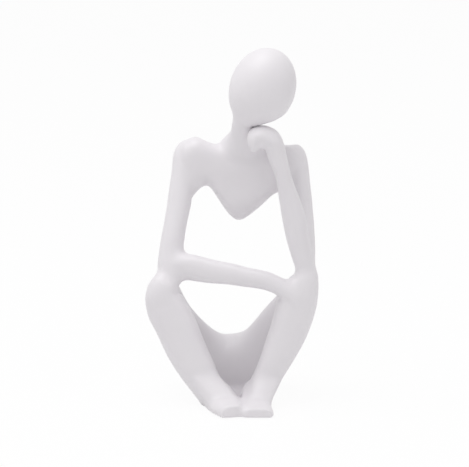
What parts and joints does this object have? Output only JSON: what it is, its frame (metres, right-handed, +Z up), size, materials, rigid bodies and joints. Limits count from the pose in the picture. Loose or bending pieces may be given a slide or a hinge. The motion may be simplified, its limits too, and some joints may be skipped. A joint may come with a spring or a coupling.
{
  "type": "thinker statue",
  "caption": "Abstract seated thinker figurine in satin white resin: featureless egg-shaped head resting on the left fist, right forearm laid across to the left knee.",
  "frame": {"origin": "on the table under the middle of the figure: the centre, in plan, of the whole figure's box, at the underside of the pads", "axes": "+Z up; the figure faces -Y, towards the viewer; +X to the viewer's right, which is the figure's own left"},
  "size_m": [0.0618, 0.053, 0.1292],
  "materials": {
    "resin": "satin, lightly rubbed casting resin, painted white",
    "steel": "plain drawn dowel",
    "pad": "matt foam rubber"
  },
  "bodies": {
    "root": {"head": "resin", "torso": "resin", "right_arm": "resin", "left_upper_arm": "resin", "left_forearm": "resin", "seat": "resin", "right_leg": "resin", "left_leg": "resin", "neck_pin": "steel", "right_shoulder_pin": "steel", "left_shoulder_pin": "steel", "right_elbow_pin": "steel", "left_elbow_pin": "steel", "left_forearm_pin": "steel", "hand_pin": "steel", "chin_pin": "steel", "right_knee_pin": "steel", "left_knee_pin": "steel", "seat_pad": "pad", "right_sole_pad": "pad", "left_sole_pad": "pad"}
  },
  "joints": []
}
